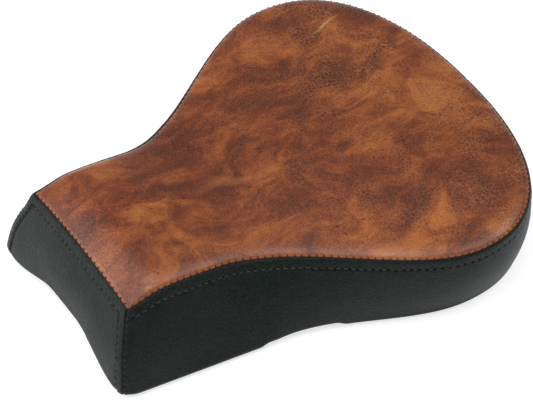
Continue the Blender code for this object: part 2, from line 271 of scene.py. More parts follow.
def relief(y):
    rise = smooth((y - RELIEF_START) / RELIEF_RAMP)
    fall = smooth((y - RELIEF_END) / RELIEF_RAMP)
    return RELIEF_HEIGHT * (rise - fall)


def arch_height(x, y):
    inside = distance_inside(HEM, x, np.maximum(y, HEM["front"]), False)
    share = np.clip((inside - RIM) / ARCH_SPAN, 0, 1)
    crown = mix(ARCH_FRONT, ARCH_MIDDLE, smooth((y - HEM["front"]) / ARCH_RISE))
    return mix(relief(y), crown, smooth(share))


def pan_bottom(x, y):
    return VINYL + PAN_CLEARANCE + arch_height(x, y)


def wall(station, level, less=0.0):
    """Points of the +X wall, from its seam (level 0) past the hem's curve (1 to 2) to the lip's end (3)."""
    top = outline(SEAM, station)
    foot = outline(HEM, station)
    lift = relief(foot[..., 1])
    high = seam_height(top[..., 1])
    upper = np.clip(level, 0, 1)
    curve = np.clip(level - 1, 0, 1) * math.pi / 2
    lip = np.clip(level - 2, 0, 1)
    out = mix(outward(SEAM, station), outward(HEM, station), upper[..., None])
    out = out / np.linalg.norm(out, axis=-1, keepdims=True)
    out = mix(np.array([1.0, -1.0]), out, smooth(station / CORNER_BLEND)[..., None])
    aside = HEM_RADIUS * (1 - np.cos(curve)) + HEM_LIP * lip
    plan = mix(top, foot, upper[..., None])
    plan = plan + out * ((WALL_BULGE - less) * np.sin(math.pi * upper))[..., None]
    plan = plan - outward(HEM, station) * aside[..., None]
    mitre = np.maximum(plan[..., 1], HEM["front"] + aside)
    plan[..., 1] = np.where(aside > 0, mitre, plan[..., 1])
    z = mix(high, HEM_RADIUS + lift, upper) - HEM_RADIUS * np.sin(curve)
    return np.concatenate([plan, z[..., None]], -1)


def front_wall(across, level, less=0.0):
    """Points of the front wall. across runs from -1 to 1, level as in wall()."""
    corner = wall(np.zeros(np.shape(level)), level, less)
    x = corner[..., 0] * across
    drop = np.clip(1 - corner[..., 2] / SEAM_HEIGHTS[0][1], 0, 1)
    high = front_crown(SEAM["neck"] * across, SEAM["front"])
    low = arch_height(np.clip(x, -FRONT_ARCH_REACH, FRONT_ARCH_REACH), np.full(np.shape(x), HEM["front"]))
    rise = mix(high, low, smooth(drop))
    y = corner[..., 1] + LEAN * rise / SEAM_HEIGHTS[0][1] * drop
    return np.stack([x, y, corner[..., 2] + rise], -1)


def spine(station):
    """Where the rings of the top panel close, on the seat's centre line."""
    y = outline(SEAM, station)[..., 1]
    return np.stack([0 * y, np.clip(y, SPINE_FRONT, SPINE_BACK)], -1)


def top_sector(station, ring, side, less=0.0):
    """Points of the top from its side seam, ring 0, in to the centre line, ring 1."""
    plan = mix(outline(SEAM, station), spine(station), ring[..., None])
    z = top_height(plan[..., 0], plan[..., 1], less)
    return np.stack([side * plan[..., 0], plan[..., 1], z], -1)


def front_sector(across, ring, less=0.0):
    """Points of the top from its front seam in to the front end of the centre line."""
    seam = np.stack([SEAM["neck"] * across, np.full(np.shape(across), SEAM["front"])], -1)
    plan = mix(seam, spine(np.zeros(np.shape(across))), ring[..., None])
    z = top_height(plan[..., 0], plan[..., 1], less)
    return np.concatenate([plan, z[..., None]], -1)


# --- grids ---------------------------------------------------------------


def even_stations(count):
    """Stations evenly spaced along the seam, from the front corner to the rear tip."""
    fine = np.linspace(0, 2, 2001)
    points = outline(SEAM, fine)
    run = np.concatenate([[0], np.cumsum(np.linalg.norm(np.diff(points, axis=0), axis=1))])
    return np.interp(np.linspace(0, run[-1], count), run, fine), run[-1]


def lattice(first, second):
    return np.meshgrid(first, second, indexing="ij")


def cubic(known, values, wanted):
    """Catmull-Rom interpolation along the first axis."""
    slopes = np.gradient(values, known, axis=0)
    i = np.clip(np.searchsorted(known, wanted, side="right") - 1, 0, len(known) - 2)
    gap = known[i + 1] - known[i]
    t = ((wanted - known[i]) / gap).reshape(-1, *([1] * (values.ndim - 1)))
    gap = gap.reshape(t.shape)
    return (
        (2 * t**3 - 3 * t**2 + 1) * values[i]
        + (t**3 - 2 * t**2 + t) * gap * slopes[i]
        + (3 * t**2 - 2 * t**3) * values[i + 1]
        + (t**3 - t**2) * gap * slopes[i + 1]
    )


def refine(coarse_axes, values, fine_axes):
    once = cubic(coarse_axes[0], values, fine_axes[0])
    twice = cubic(coarse_axes[1], once.swapaxes(0, 1), fine_axes[1])
    return twice.swapaxes(0, 1)


def run_along(points, axis):
    """Distance along a grid's rows or columns from its first line."""
    steps = np.linalg.norm(np.diff(points, axis=axis), axis=-1)
    start = np.zeros_like(np.take(steps, [0], axis=axis))
    return np.concatenate([start, np.cumsum(steps, axis=axis)], axis=axis)


def grid_normals(points):
    first = np.gradient(points, axis=0)
    second = np.gradient(points, axis=1)
    normal = np.cross(first, second)
    length = np.linalg.norm(normal, axis=-1, keepdims=True)
    return normal / np.maximum(length, 1e-12)


def at(wanted, run, path):
    """Points of a path where its run reaches the wanted values."""
    return np.stack([np.interp(wanted, run, path[:, k]) for k in range(3)], -1)


def bell(distance, reach):
    """1 at no distance, and next to nothing at twice the reach."""
    return np.exp(-((distance / reach) ** 2))


def put(name, data):
    obj = bpy.data.objects.new(name, data)
    bpy.context.collection.objects.link(obj)
    return obj


def net(name, places, faces):
    mesh = bpy.data.meshes.new(name)
    mesh.from_pydata([tuple(place) for place in places], [], faces)
    return mesh


def rework(mesh, *steps):
    """Runs steps on a mesh while it is open as a bmesh."""
    form = bmesh.new()
    form.from_mesh(mesh)
    for step in steps:
        step(form)
    form.to_mesh(mesh)
    form.free()


def align(form):
    bmesh.ops.recalc_face_normals(form, faces=form.faces)


def face_up(form):
    highest = max(form.faces, key=lambda face: face.calc_center_median().z)
    if highest.normal.z < 0:
        bmesh.ops.reverse_faces(form, faces=form.faces)


# --- the cloth simulation --------------------------------------------------

PATCHES = {
    "top_right": lambda a, b, less: top_sector(a, b, 1, less),
    "top_left": lambda a, b, less: top_sector(a, b, -1, less),
    "top_front": front_sector,
    "wall_right": wall,
    "wall_left": lambda a, b, less: wall(a, b, less) * np.array([-1, 1, 1]),
    "front": front_wall,
}


def coarse_axes():
    sides, _ = even_stations(78)
    rings = np.linspace(0, 1, 15) ** 1.25
    levels = np.linspace(0, 1, 13)
    across = np.linspace(-1, 1, 25)
    return {
        "top_right": (sides, rings),
        "top_left": (sides, rings),
        "top_front": (across, rings),
        "wall_right": (sides, levels),
        "wall_left": (sides, levels),
        "front": (across, levels),
    }


def join_patches(grids):
    """One net from the patches: its places, faces, each patch's place numbers, and the places held still."""
    found = {}
    places = []
    faces = []
    numbers = {}
    pinned = set()
    for name, points in grids.items():
        rows, columns = points.shape[:2]
        number = np.zeros((rows, columns), int)
        for i in range(rows):
            for j in range(columns):
                key = tuple(np.round(points[i, j], 5))
                if key not in found:
                    found[key] = len(places)
                    places.append(points[i, j])
                number[i, j] = found[key]
        numbers[name] = number
        pinned.update(number[:, 0].tolist())
        if not name.startswith("top"):
            pinned.update(number[:, -1].tolist())
            pinned.update(number[0, :].tolist())
        if name == "front":
            pinned.update(number[-1, :].tolist())
        flip = name in ("top_left", "top_front", "wall_left", "front")
        for i in range(rows - 1):
            for j in range(columns - 1):
                ring = [number[i, j], number[i + 1, j], number[i + 1, j + 1], number[i, j + 1]]
                ring = list(dict.fromkeys(ring))
                if len(ring) > 2:
                    faces.append(ring[::-1] if flip else ring)
    return places, faces, numbers, sorted(pinned)


def blow_up(places, faces, pinned):
    """Where the net's places are after the cloth simulation, which leaves nothing behind."""
    mesh = net("swell", places, faces)
    mesh.validate()
    rework(mesh, align, face_up)
    cover = put("swell", mesh)
    cover.vertex_groups.new(name="pins").add(pinned, 1.0, "REPLACE")
    cloth = cover.modifiers.new("cloth", "CLOTH")
    for key, value in CLOTH.items():
        setattr(cloth.settings, key, value)
    cloth.settings.effector_weights.gravity = 0
    cloth.point_cache.frame_start = 1
    cloth.point_cache.frame_end = SIM_FRAMES
    for number in range(1, SIM_FRAMES + 1):
        bpy.context.scene.frame_set(number)
    done = cover.evaluated_get(bpy.context.evaluated_depsgraph_get())
    swelled_places = np.empty(len(places) * 3)
    done.data.vertices.foreach_get("co", swelled_places)
    bpy.context.scene.frame_set(1)
    bpy.data.objects.remove(cover)
    return swelled_places.reshape(-1, 3)


def simulate_swell():
    """Swells the sewn cover as foam under it would. Returns each patch's axes and its shift."""
    axes = coarse_axes()
    grids = {name: PATCHES[name](*lattice(*axes[name]), SWELL) for name in PATCHES}
    places, faces, numbers, pinned = join_patches(grids)
    shift = evened(blow_up(places, faces, pinned) - np.array(places), faces, pinned)
    size = np.linalg.norm(shift, axis=1, keepdims=True)
    shift = shift * SWELL_CAP * np.tanh(size / SWELL_CAP) / np.maximum(size, 1e-9)
    print("swell", round(float(size.max()) * 1000, 2), "mm before the cap")
    return axes, {name: shift[number] for name, number in numbers.items()}


def evened(shift, faces, pinned):
    """Takes the small crumples out of the swelling, since moulded foam backs the cover everywhere."""
    edges = np.array([(a, b) for face in faces for a, b in zip(face, face[1:] + face[:1])])
    edges = np.concatenate([edges, edges[:, ::-1]])
    count = np.bincount(edges[:, 0], minlength=len(shift))[:, None]
    for _ in range(EVENING_PASSES):
        total = np.zeros_like(shift)
        np.add.at(total, edges[:, 0], shift[edges[:, 1]])
        shift = 0.4 * shift + 0.6 * total / np.maximum(count, 1)
        shift[pinned] = 0
    return shift


AXES, SHIFTS = simulate_swell()


def swelled(name, first, second):
    """A patch of the cover at full resolution, before its sewing is worked in."""
    points = PATCHES[name](*lattice(first, second), SWELL)
    inner = np.clip(second, 0, 1)
    return points + refine(AXES[name], SHIFTS[name], (first, inner))


# --- meshes ----------------------------------------------------------------


def own(obj, slot, *nodes):
    """Every piece rides on the one body and may stand for CAD nodes; the slot argument is not used."""
    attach(obj, BODY)
    if nodes:
        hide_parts(*nodes)
    return obj


def link(name, mesh, look):
    mesh.materials.append(look)
    return put(name, mesh)


def grid_mesh(name, grids, values=None, merge=0.0):
    """One mesh from several point grids. values gives vertex attributes, each a list of grids."""
    places = np.concatenate([grid.reshape(-1, 3) for grid in grids])
    faces = []
    start = 0
    for grid in grids:
        rows, columns = grid.shape[:2]
        number = start + np.arange(rows * columns).reshape(rows, columns)
        ring = np.stack([number[:-1, :-1], number[1:, :-1], number[1:, 1:], number[:-1, 1:]], -1)
        faces.append(ring.reshape(-1, 4))
        start += rows * columns
    mesh = net(name, places.tolist(), np.concatenate(faces).tolist())
    for label, parts in (values or {}).items():
        layer = mesh.attributes.new(label, "FLOAT", "POINT")
        layer.data.foreach_set("value", np.concatenate([part.ravel() for part in parts]))

    def close(form):
        if merge:
            bmesh.ops.remove_doubles(form, verts=form.verts, dist=merge)
            bmesh.ops.dissolve_degenerate(form, edges=form.edges, dist=merge)

    rework(mesh, close, align)
    return mesh


def face_towards(mesh, direction):
    """Turns the whole mesh's faces so that they look the way of direction on the whole."""
    total = Vector()
    for face in mesh.polygons:
        total += face.normal * face.area
    if total.dot(Vector(direction)) < 0:
        mesh.flip_normals()
    mesh.shade_smooth()


def thicken(obj, thickness):
    solid = obj.modifiers.new("thickness", "SOLIDIFY")
    solid.thickness = thickness
    solid.offset = -1


def tubes(name, paths, radius, look, sides=8):
    """Rounded thread or wire along each path, all in one mesh, a little thinner at its ends."""
    turns = 2 * math.pi * np.arange(sides) / sides
    circle = np.stack([np.cos(turns), np.sin(turns)], -1)
    places = []
    faces = []
    for path in paths:
        path = np.asarray(path, float)
        along = np.gradient(path, axis=0)
        along /= np.maximum(np.linalg.norm(along, axis=1, keepdims=True), 1e-12)
        across = np.cross(along, np.array([0.21, 0.13, 0.97]))
        across /= np.linalg.norm(across, axis=1, keepdims=True)
        size = np.full((len(path), 1, 1), radius)
        size[[0, -1]] *= 0.55
        rings = circle @ np.stack([across, np.cross(along, across)], 1)
        first = len(places)
        places.extend((path[:, None] + size * rings).reshape(-1, 3))
        last = len(places) - sides
        for low in range(first, last, sides):
            for k in range(sides):
                m = (k + 1) % sides
                faces.append((low + k, low + m, low + sides + m, low + sides + k))
        faces.append(tuple(range(first, first + sides))[::-1])
        faces.append(tuple(range(last, last + sides)))
    mesh = net(name, places, faces)
    rework(mesh, align)
    mesh.shade_smooth()
    return link(name, mesh, look)


# --- materials -------------------------------------------------------------


class Nodes:
    """Short hand for a material's node tree."""

    def __init__(self, name):
        self.material = bpy.data.materials.new(name)
        self.material.use_nodes = True
        self.tree = self.material.node_tree
        self.shader = self.tree.nodes["Principled BSDF"]
        self.place = self.add("ShaderNodeTexCoord").outputs["Object"]

    def add(self, kind, values=None, **settings):
        """A node with its settings, and with its inputs linked or set from values, by name or number."""
        node = self.tree.nodes.new(kind)
        for key, value in settings.items():
            setattr(node, key, value)
        for key, value in (values or {}).items():
            self.join(value, node.inputs[key])
        return node

    def join(self, source, target):
        if isinstance(source, (int, float, tuple)):
            target.default_value = source
        else:
            self.tree.links.new(source, target)

    def times(self, a, b, plus=0.0, clamp=False):
        """a * b + plus."""
        values = {0: a, 1: b, 2: plus}
        return self.add("ShaderNodeMath", values, operation="MULTIPLY_ADD", use_clamp=clamp).outputs[0]

    def vector(self, operation, *values):
        return self.add("ShaderNodeVectorMath", dict(enumerate(values)), operation=operation).outputs

    def stretch(self, scale, turn=(0, 0, 0), vector=None):
        values = {"Vector": vector or self.place, "Rotation": turn, "Scale": scale}
        return self.add("ShaderNodeMapping", values).outputs[0]

    def noise(self, scale, detail=4.0, rough=0.55, distort=0.0, vector=None, kind="FBM"):
        values = {"Vector": vector or self.place, "Scale": scale, "Detail": detail}
        values.update({"Roughness": rough, "Distortion": distort})
        return self.add("ShaderNodeTexNoise", values, noise_type=kind).outputs[0]

    def cells(self, scale, vector=None, feature="F1"):
        values = {"Vector": vector or self.place, "Scale": scale}
        return self.add("ShaderNodeTexVoronoi", values, feature=feature).outputs["Distance"]

    def ramp(self, value, *stops):
        node = self.add("ShaderNodeValToRGB", {0: value})
        bar = node.color_ramp
        while len(bar.elements) < len(stops):
            bar.elements.new(0.5)
        for element, (place, colour) in zip(bar.elements, stops):
            element.position = place
            if isinstance(colour, (int, float)):
                colour = (colour, colour, colour)
            element.color = (*colour, 1)
        return node.outputs[0]

    def blend(self, share, a, b, mode="MIX"):
        a, b = ((*c, 1.0) if isinstance(c, tuple) else c for c in (a, b))
        return self.add("ShaderNodeMix", {0: share, 6: a, 7: b}, data_type="RGBA", blend_type=mode).outputs[2]

    def tint(self, base, mask, share, colour):
        """Lays a share of a colour over the base where the mask is."""
        return self.blend(self.times(mask, share), base, colour)

    def attribute(self, name):
        return self.add("ShaderNodeAttribute", attribute_name=name).outputs["Fac"]

    def bump(self, height, distance, strength, under=None):
        values = {"Strength": strength, "Distance": distance, "Height": height}
        if under is not None:
            values["Normal"] = under
        return self.add("ShaderNodeBump", values).outputs[0]

    def finish(self, colour, roughness, normal=None, **sockets):
        self.join(colour, self.shader.inputs["Base Color"])
        self.join(roughness, self.shader.inputs["Roughness"])
        if normal is not None:
            self.join(normal, self.shader.inputs["Normal"])
        for name, value in sockets.items():
            self.shader.inputs[name.replace("_", " ")].default_value = value
        return self.material


def hide_mark(n, where, turn, long, wide, wave):
    """A mask that is 1 on a long narrow mark on the hide and fades to 0 round it."""
    moved = n.vector("SUBTRACT", wave, (*where, 0.08))[0]
    values = {"Vector": moved, "Angle": math.radians(-turn)}
    level = n.add("ShaderNodeVectorRotate", values, rotation_type="Z_AXIS").outputs[0]
    scaled = n.vector("MULTIPLY", level, (1 / long, 1 / wide, 0))[0]
    return n.ramp(n.vector("LENGTH", scaled)["Value"], (0.25, 1.0), (1.0, 0.0))


def wavy(n, scale, reach, detail=3):
    """The hide's coordinates pushed about by noise, so that nothing on it runs straight."""
    noise = n.add("ShaderNodeTexNoise", {"Vector": n.place, "Scale": scale, "Detail": detail})
    centred = n.vector("SUBTRACT", noise.outputs["Color"], (0.5, 0.5, 0.5))[0]
    return n.vector("MULTIPLY_ADD", centred, (reach, reach, reach), n.place)[0]


def leather_look():
    """Waxed pull-up leather: cloudy browns, rubbed veins, pores, fine grain, a crease and a scar."""
    n = Nodes("brown_leather_look")
    ridges = "RIDGED_MULTIFRACTAL"
    bent = wavy(n, 11, 0.060)
    long_way = n.stretch((1.75, 1.0, 1.0), vector=bent)
    clouds = n.noise(9, 7, 0.58, 0.5, long_way)
    mottle = n.times(n.noise(30, 8, 0.66, 0.7, long_way), 0.55, n.times(clouds, 0.50))
    rubbed = n.ramp(n.noise(18, 5, 0.6, 0.2, long_way), (0.42, 0.0), (0.62, 1.0))
    veins = n.ramp(n.noise(17, 6, 0.6, 0.8, long_way, ridges), (0.50, 0.0), (0.92, 1.0))
    fibres = n.noise(75, 6, 0.65, 1.2, n.stretch((2.2, 0.8, 1.0), vector=bent), ridges)
    hairs = n.noise(210, 5, 0.62, 1.6, n.stretch((1.7, 0.9, 1.0), (0, 0, 0.5), bent), ridges)
    hair_lines = n.ramp(hairs, (0.50, 0.0), (0.90, 1.0))

    fine_bent = wavy(n, 160, 0.0040, 2)
    wrinkles = n.ramp(n.cells(300, fine_bent, "DISTANCE_TO_EDGE"), (0.0, 1.0), (0.11, 0.0))
    grain = n.ramp(n.cells(640, fine_bent, "DISTANCE_TO_EDGE"), (0.0, 1.0), (0.20, 0.0))
    grit = n.noise(780, 3, 0.7)
    rearward = n.add("ShaderNodeSeparateXYZ", {0: n.place}).outputs["Y"]
    rear_share = n.times(rearward, 4.5, 0.25, clamp=True)
    patchy = n.times(rear_share, n.ramp(n.noise(30, 3), (0.42, 0.15), (0.60, 1.0)))
    pores = n.ramp(n.cells(150, fine_bent), (0.06, 1.0), (0.19, 0.0))
    some = n.ramp(n.noise(42, 3), (0.47, 0.0), (0.54, 1.0))

    seam = n.times(n.attribute("seam_distance"), 200.0)
    rim = n.ramp(seam, (0.0, 1.0), (0.22, 0.9), (0.50, 0.0))
    base = n.ramp(
        mottle,
        (0.425, (0.080, 0.020, 0.0095)),
        (0.48, (0.122, 0.028, 0.0118)),
        (0.53, (0.184, 0.044, 0.0150)),
        (0.58, (0.262, 0.071, 0.0200)),
        (0.65, (0.385, 0.121, 0.0310)),
    )
    for mask, share, colour in (
        (n.times(veins, rubbed), 0.60, (0.46, 0.160, 0.048)),
        (n.ramp(fibres, (0.50, 0.0), (1.0, 1.0)), 0.42, (0.44, 0.150, 0.048)),
        (n.times(hair_lines, rubbed), 0.60, (0.50, 0.200, 0.070)),
        (n.times(wrinkles, patchy), 0.65, (0.48, 0.195, 0.070)),
        (grain, 0.26, (0.060, 0.019, 0.011)),
        (n.ramp(grit, (0.34, 1.0), (0.50, 0.0)), 0.45, (0.060, 0.017, 0.009)),
        (n.ramp(grit, (0.54, 0.0), (0.70, 1.0)), 0.35, (0.46, 0.150, 0.048)),
        (n.times(pores, some), 0.75, (0.030, 0.011, 0.008)),
        (hide_mark(n, *CREASE, wavy(n, 28, 0.030)), 0.30, (0.42, 0.150, 0.050)),
        (hide_mark(n, *SCAR, wavy(n, 60, 0.006)), 0.65, (0.42, 0.265, 0.100)),
        (rim, 0.70, (0.360, 0.094, 0.022)),
        # near-black within 0.6 mm of the seam line: painted shade in the seam's gap
        (n.ramp(seam, (0.0, 1.0), (0.12, 0.0)), 0.85, (0.03, 0.010, 0.006)),
    ):
        base = n.tint(base, mask, share, colour)

    rough = n.times(rim, 0.40, n.times(grain, 0.10, n.times(mottle, -0.25, 0.42)))
    lines = n.times(wrinkles, 0.8, n.times(grain, 0.6))
    fine = n.bump(n.times(lines, -1.0), 0.00014, 0.45)
    folds = n.bump(fibres, 0.00024, 0.25, fine)
    soft = n.bump(clouds, 0.0016, 0.20, folds)
    return n.finish(base, rough, soft, Specular_IOR_Level=0.42)


def vinyl_look():
    """Near-black upholstery vinyl with a fine pressed grain."""
    n = Nodes("black_vinyl_look")
    squeeze = n.stretch((1.0, 1.0, 1.7), (0.5, 0.4, 0))
    pebbles = n.cells(620, squeeze, "SMOOTH_F1")
    wrinkle = n.noise(520, 4, 0.60, 0.6, squeeze)
    grain = n.times(wrinkle, 0.9, n.times(pebbles, 0.7))
    cloud = n.noise(14, 3, 0.5)
    colour = n.ramp(cloud, (0.3, (0.0060, 0.0102, 0.0083)), (0.7, (0.0090, 0.0142, 0.0120)))
    flecks = n.ramp(wrinkle, (0.40, 0.40), (0.60, 1.30))
    colour = n.blend(1.0, colour, flecks, "MULTIPLY")
    rough = n.times(n.noise(60, 4), 0.14, 0.36)
    fine = n.bump(grain, 0.00075, 0.75)
    soft = n.bump(n.noise(45, 3), 0.0012, 0.25, fine)
    return n.finish(colour, rough, soft, Specular_IOR_Level=0.14)


def thread_look(name, colour):
    n = Nodes(name)
    twist = n.add("ShaderNodeTexWave", wave_type="BANDS", bands_direction="DIAGONAL")
    n.join(n.place, twist.inputs["Vector"])
    twist.inputs["Scale"].default_value = 900
    twist.inputs["Distortion"].default_value = 1.5
    shade = n.blend(twist.outputs["Fac"], tuple(c * 0.5 for c in colour), colour)
    return n.finish(shade, 0.38, n.bump(twist.outputs["Fac"], 0.0001, 0.6), Specular_IOR_Level=0.4)


def plastic_look():
    """Thermoformed sheet with a haircell grain."""
    n = Nodes("pan_plastic_look")
    hair = n.noise(900, 3, 0.6, 1.2)
    cloud = n.noise(18, 3)
    colour = n.ramp(cloud, (0.35, (0.014, 0.014, 0.015)), (0.7, (0.024, 0.024, 0.025)))
    rough = n.times(cloud, 0.15, 0.42)
    return n.finish(colour, rough, n.bump(hair, 0.0003, 0.5))


def carpet_look():
    n = Nodes("carpet_look")
    fibre = n.noise(1400, 5, 0.7, 2.0)
    clumps = n.noise(160, 4, 0.6)
    both = n.times(clumps, 0.5, n.times(fibre, 0.6))
    colour = n.ramp(both, (0.35, (0.010, 0.010, 0.012)), (0.7, (0.055, 0.055, 0.060)))
    return n.finish(colour, 0.97, n.bump(both, 0.0012, 0.9), Sheen_Weight=0.4)


def metal_look(name, dark, light, rough, metallic, scratch):
    n = Nodes(name)
    stain = n.noise(55, 5, 0.6)
    lines = n.noise(300, 3, 0.7, 0.3, n.stretch((1.0, scratch, 1.0)))
    colour = n.ramp(n.times(lines, 0.4, n.times(stain, 0.6)), (0.35, dark), (0.7, light))
    value = n.times(lines, 0.2, rough - 0.1)
    return n.finish(colour, value, n.bump(lines, 0.0001, 0.25), Metallic=metallic)


def rubber_look():
    n = Nodes("rubber_look")
    dust = n.noise(220, 5, 0.65)
    colour = n.ramp(dust, (0.35, (0.010, 0.010, 0.010)), (0.75, (0.028, 0.027, 0.026)))
    return n.finish(colour, n.times(dust, 0.2, 0.62), n.bump(dust, 0.0003, 0.4))


def foam_look():
    n = Nodes("foam_look")
    holes = n.cells(700)
    colour = n.ramp(holes, (0.1, (0.40, 0.34, 0.20)), (0.5, (0.62, 0.56, 0.40)))
    return n.finish(colour, 0.95, n.bump(holes, 0.0006, 0.8))


def floor_look():
    n = Nodes("floor_look")
    cloud = n.noise(3, 2)
    colour = n.ramp(cloud, (0.3, (0.46, 0.46, 0.46)), (0.7, (0.48, 0.48, 0.48)))
    glow = {"Emission Color": (1, 1, 1, 1), "Emission Strength": 0.72}
    return n.finish(colour, 0.8, Specular_IOR_Level=0.1, **glow)


# --- the cover -------------------------------------------------------------

STATIONS, SEAM_RUN = even_stations(600)
ALONG_SEAM = np.linspace(0, SEAM_RUN, len(STATIONS))
RINGS = np.concatenate([np.linspace(0, 0.10, 15)[:-1], 0.10 + 0.90 * np.linspace(0, 1, 36) ** 1.15])
DOWN = np.concatenate([np.linspace(0, 0.20, 30)[:-1], np.linspace(0.20, 1.0, 26)])
LEVELS = np.concatenate([DOWN, np.linspace(1, 2, 8)[1:], np.linspace(2, 3, 7)[1:]])


def ripple(run, seed, period):
    """A smooth random wave along a seam, from -1 to 1."""
    rng = np.random.default_rng(seed)
    knots = rng.uniform(-1, 1, 400)
    place = np.asarray(run) / period + 3
    i = np.floor(place).astype(int) % 396
    t = smooth(place - np.floor(place))
    return knots[i] * (1 - t) + knots[i + 1] * t


def beat(run, pitch):
    """A wave along a seam that is 1 at each needle hole and 0 half way between them."""
    return 0.5 + 0.5 * np.cos(2 * math.pi * run / pitch)


def work_top(points, distance, run):
    """The leather dives into its seam, dips at each stitch, and has slow unevenness."""
    x, y = points[..., 0], points[..., 1]
    slow = 0.00035 * np.sin(31 * x + 17 * y) * np.sin(23 * y - 12 * x + 1.0)
    slow = slow + 0.00018 * np.sin(83 * x - 41 * y + 2.0) * np.sin(67 * y + 29 * x)
    dive = DIVE * bell(distance, DIVE_REACH)
    pull = PULL * beat(run, SEAM_PITCH) ** 2 * bell(distance, PULL_REACH)
    points = points.copy()
    points[..., 2] += slow * smooth(distance / 0.02) - dive - pull
    return points


def make_top(look):
    across = np.linspace(-1, 1, 151)
    across_run = (1 - np.abs(across)) * SEAM["neck"]
    sectors = []
    distances = []
    for name, first, run in (
        ("top_right", STATIONS, ALONG_SEAM),
        ("top_left", STATIONS, ALONG_SEAM),
        ("top_front", across, across_run),
    ):
        points = swelled(name, first, RINGS)
        distance = distance_inside(SEAM, points[..., 0], points[..., 1], True)
        sectors.append(work_top(points, distance, run[:, None]))
        distances.append(distance)
    mesh = grid_mesh("seat_top_leather", sectors, {"seam_distance": distances}, merge=0.00006)
    face_towards(mesh, (0, 0, 1))
    top = own(link("seat_top_leather", mesh, look), "brown_leather", "top_panel")
    thicken(top, LEATHER)


def work_wall(points, down, run, corner, rear, seed):
    """Folds the sewn edges in, raises the band over the seam allowance, and puckers the topstitching."""
    normal = grid_normals(points)
    centre = np.array([0.0, 0.06, 0.0])
    facing = np.sum(normal * (points - centre), axis=-1).mean()
    normal = normal if facing > 0 else -normal
    below = down - BAND
    fold = FOLD * np.clip(1 - down / FOLD_REACH, 0, 1) ** 2
    fold = np.maximum(fold, FOLD * np.clip(1 - rear / REAR_FOLD_REACH, 0, 1) ** 2)
    band = BAND_RISE * (1 - smooth((below + 0.0004) / 0.0009))
    groove = GROOVE * bell(below - 0.0001, GROOVE_REACH)
    pucker = PUCKER * bell(below, PUCKER_REACH) * ripple(run, seed, PUCKER_PERIOD)
    dimple = DIMPLE * beat(run, TOPSTITCH_PITCH) ** 2 * bell(below, DIMPLE_REACH)
    free = smooth(down / 0.02) * (1 - smooth((down - 0.055) / 0.01))
    slow = WAVE * ripple(run, seed + 7, WAVE_PERIOD) * free
    shift = band - fold - groove + pucker - dimple + slow
    rounded = CORNER_ROUND * bell(corner, 0.007) * smooth((np.minimum(LEVELS, 1) - 0.08) / 0.2)
    tuck = CORNER_TUCK * np.clip(1 - corner / 0.0020, 0, 1) ** 2 + rounded
    worked = points + normal * (shift * smooth(corner / 0.002))[..., None]
    worked[..., 0] -= np.sign(points[..., 0]) * tuck
    worked[..., 1] += tuck
    worked[..., 2] += CORNER_LIFT * smooth((LEVELS - 0.7) / 0.3)[None, :] * bell(corner, 0.008)
    worked[..., 2] = np.maximum(worked[..., 2], REST)
    return worked, normal


def sew_wall(name, points, way, look, node):
    mesh = grid_mesh(name, [points])
    face_towards(mesh, way)
    thicken(own(link(name, mesh, look), "black_vinyl", node), VINYL_SHEET)


def make_side(side, look):
    """Makes a side panel, and returns what the stitching needs to know of it."""
    name = "right" if side > 0 else "left"
    points = swelled(f"wall_{name}", STATIONS, LEVELS)
    down = run_along(points, 1)
    corner = run_along(points, 0)
    run = np.broadcast_to(ALONG_SEAM[:, None], down.shape)
    seed = 11 if side > 0 else 23
    worked, normal = work_wall(points, down, run, corner, SEAM_RUN - run, seed)
    gather = smooth((run - 0.25) / 0.08) * np.clip(LEVELS - 2, 0, 1)[None, :]
    worked[..., 2] += GATHER * gather * (0.5 + 0.5 * np.sin(2 * math.pi * run / GATHER_PERIOD))
    worked[..., 0] = side * np.maximum(np.abs(worked[..., 0]), 0.0002)
    sew_wall(f"seat_side_{name}_vinyl", worked, (side, 0, 0), look, f"side_panel_{name}")
    return worked, normal, down


def make_front(look):
    """Makes the front panel, and returns what the stitching needs to know of it."""
    edge = np.concatenate([np.linspace(0, 0.24, 34)[:-1], np.linspace(0.24, 1.0, 48)])
    across = np.concatenate([edge - 1, (1 - edge)[::-1][1:]])
    points = swelled("front", across, LEVELS)
    down = run_along(points, 1)
    left = run_along(points, 0)
    side = np.minimum(left, left[-1:, :] - left)
    nearest = np.minimum(down, side)
    run = np.where(down <= side, left, down + CORNER_PHASE)
    no_rear_seam = np.ones(side.shape)
    worked, normal = work_wall(points, nearest, run, side, no_rear_seam, 37)
    sew_wall("seat_front_vinyl", worked, (0, -1, 0), look, "front_panel")
    return worked, normal, down, left


# --- stitching -------------------------------------------------------------


def line_at(points, normals, measure, runs, distance):
    """Where measure reaches distance in each row of a grid: the points, their normals and the run."""
    path = np.array([at(distance, values, row) for values, row in zip(measure, points)])
    lean = np.array([at(distance, values, row) for values, row in zip(measure, normals)])
    run = np.array([np.interp(distance, values, along) for values, along in zip(measure, runs)])
    return path, lean, run


def running_stitches(path, normals, run, pitch, seed, sunk=0.0):
    """Thread that shows as a slightly bowed run between two needle holes, for each stitch of a line."""
    holes = np.arange(math.ceil(run[0] / pitch), run[-1] / pitch) * pitch
    lean = at(holes, run, normals)
    bow = np.sin(math.pi * (STITCH_SHARES - 0.08) / 0.84) ** 0.6
    rise = THREAD * (1.9 * bow - 0.9) - sunk
    rng = random.Random(seed)
    made = []
    for hole, up, up_next in zip(holes, lean, lean[1:]):
        up = (up + up_next) / np.linalg.norm(up + up_next)
        wobble = rng.uniform(-0.00012, 0.00012)
        spots = at(hole + pitch * STITCH_SHARES, run, path)
        side = np.cross(spots[-1] - spots[0], up)
        side = side / max(np.linalg.norm(side), 1e-9)
        made.append(spots + up * rise[:, None] + side * wobble)
    return made


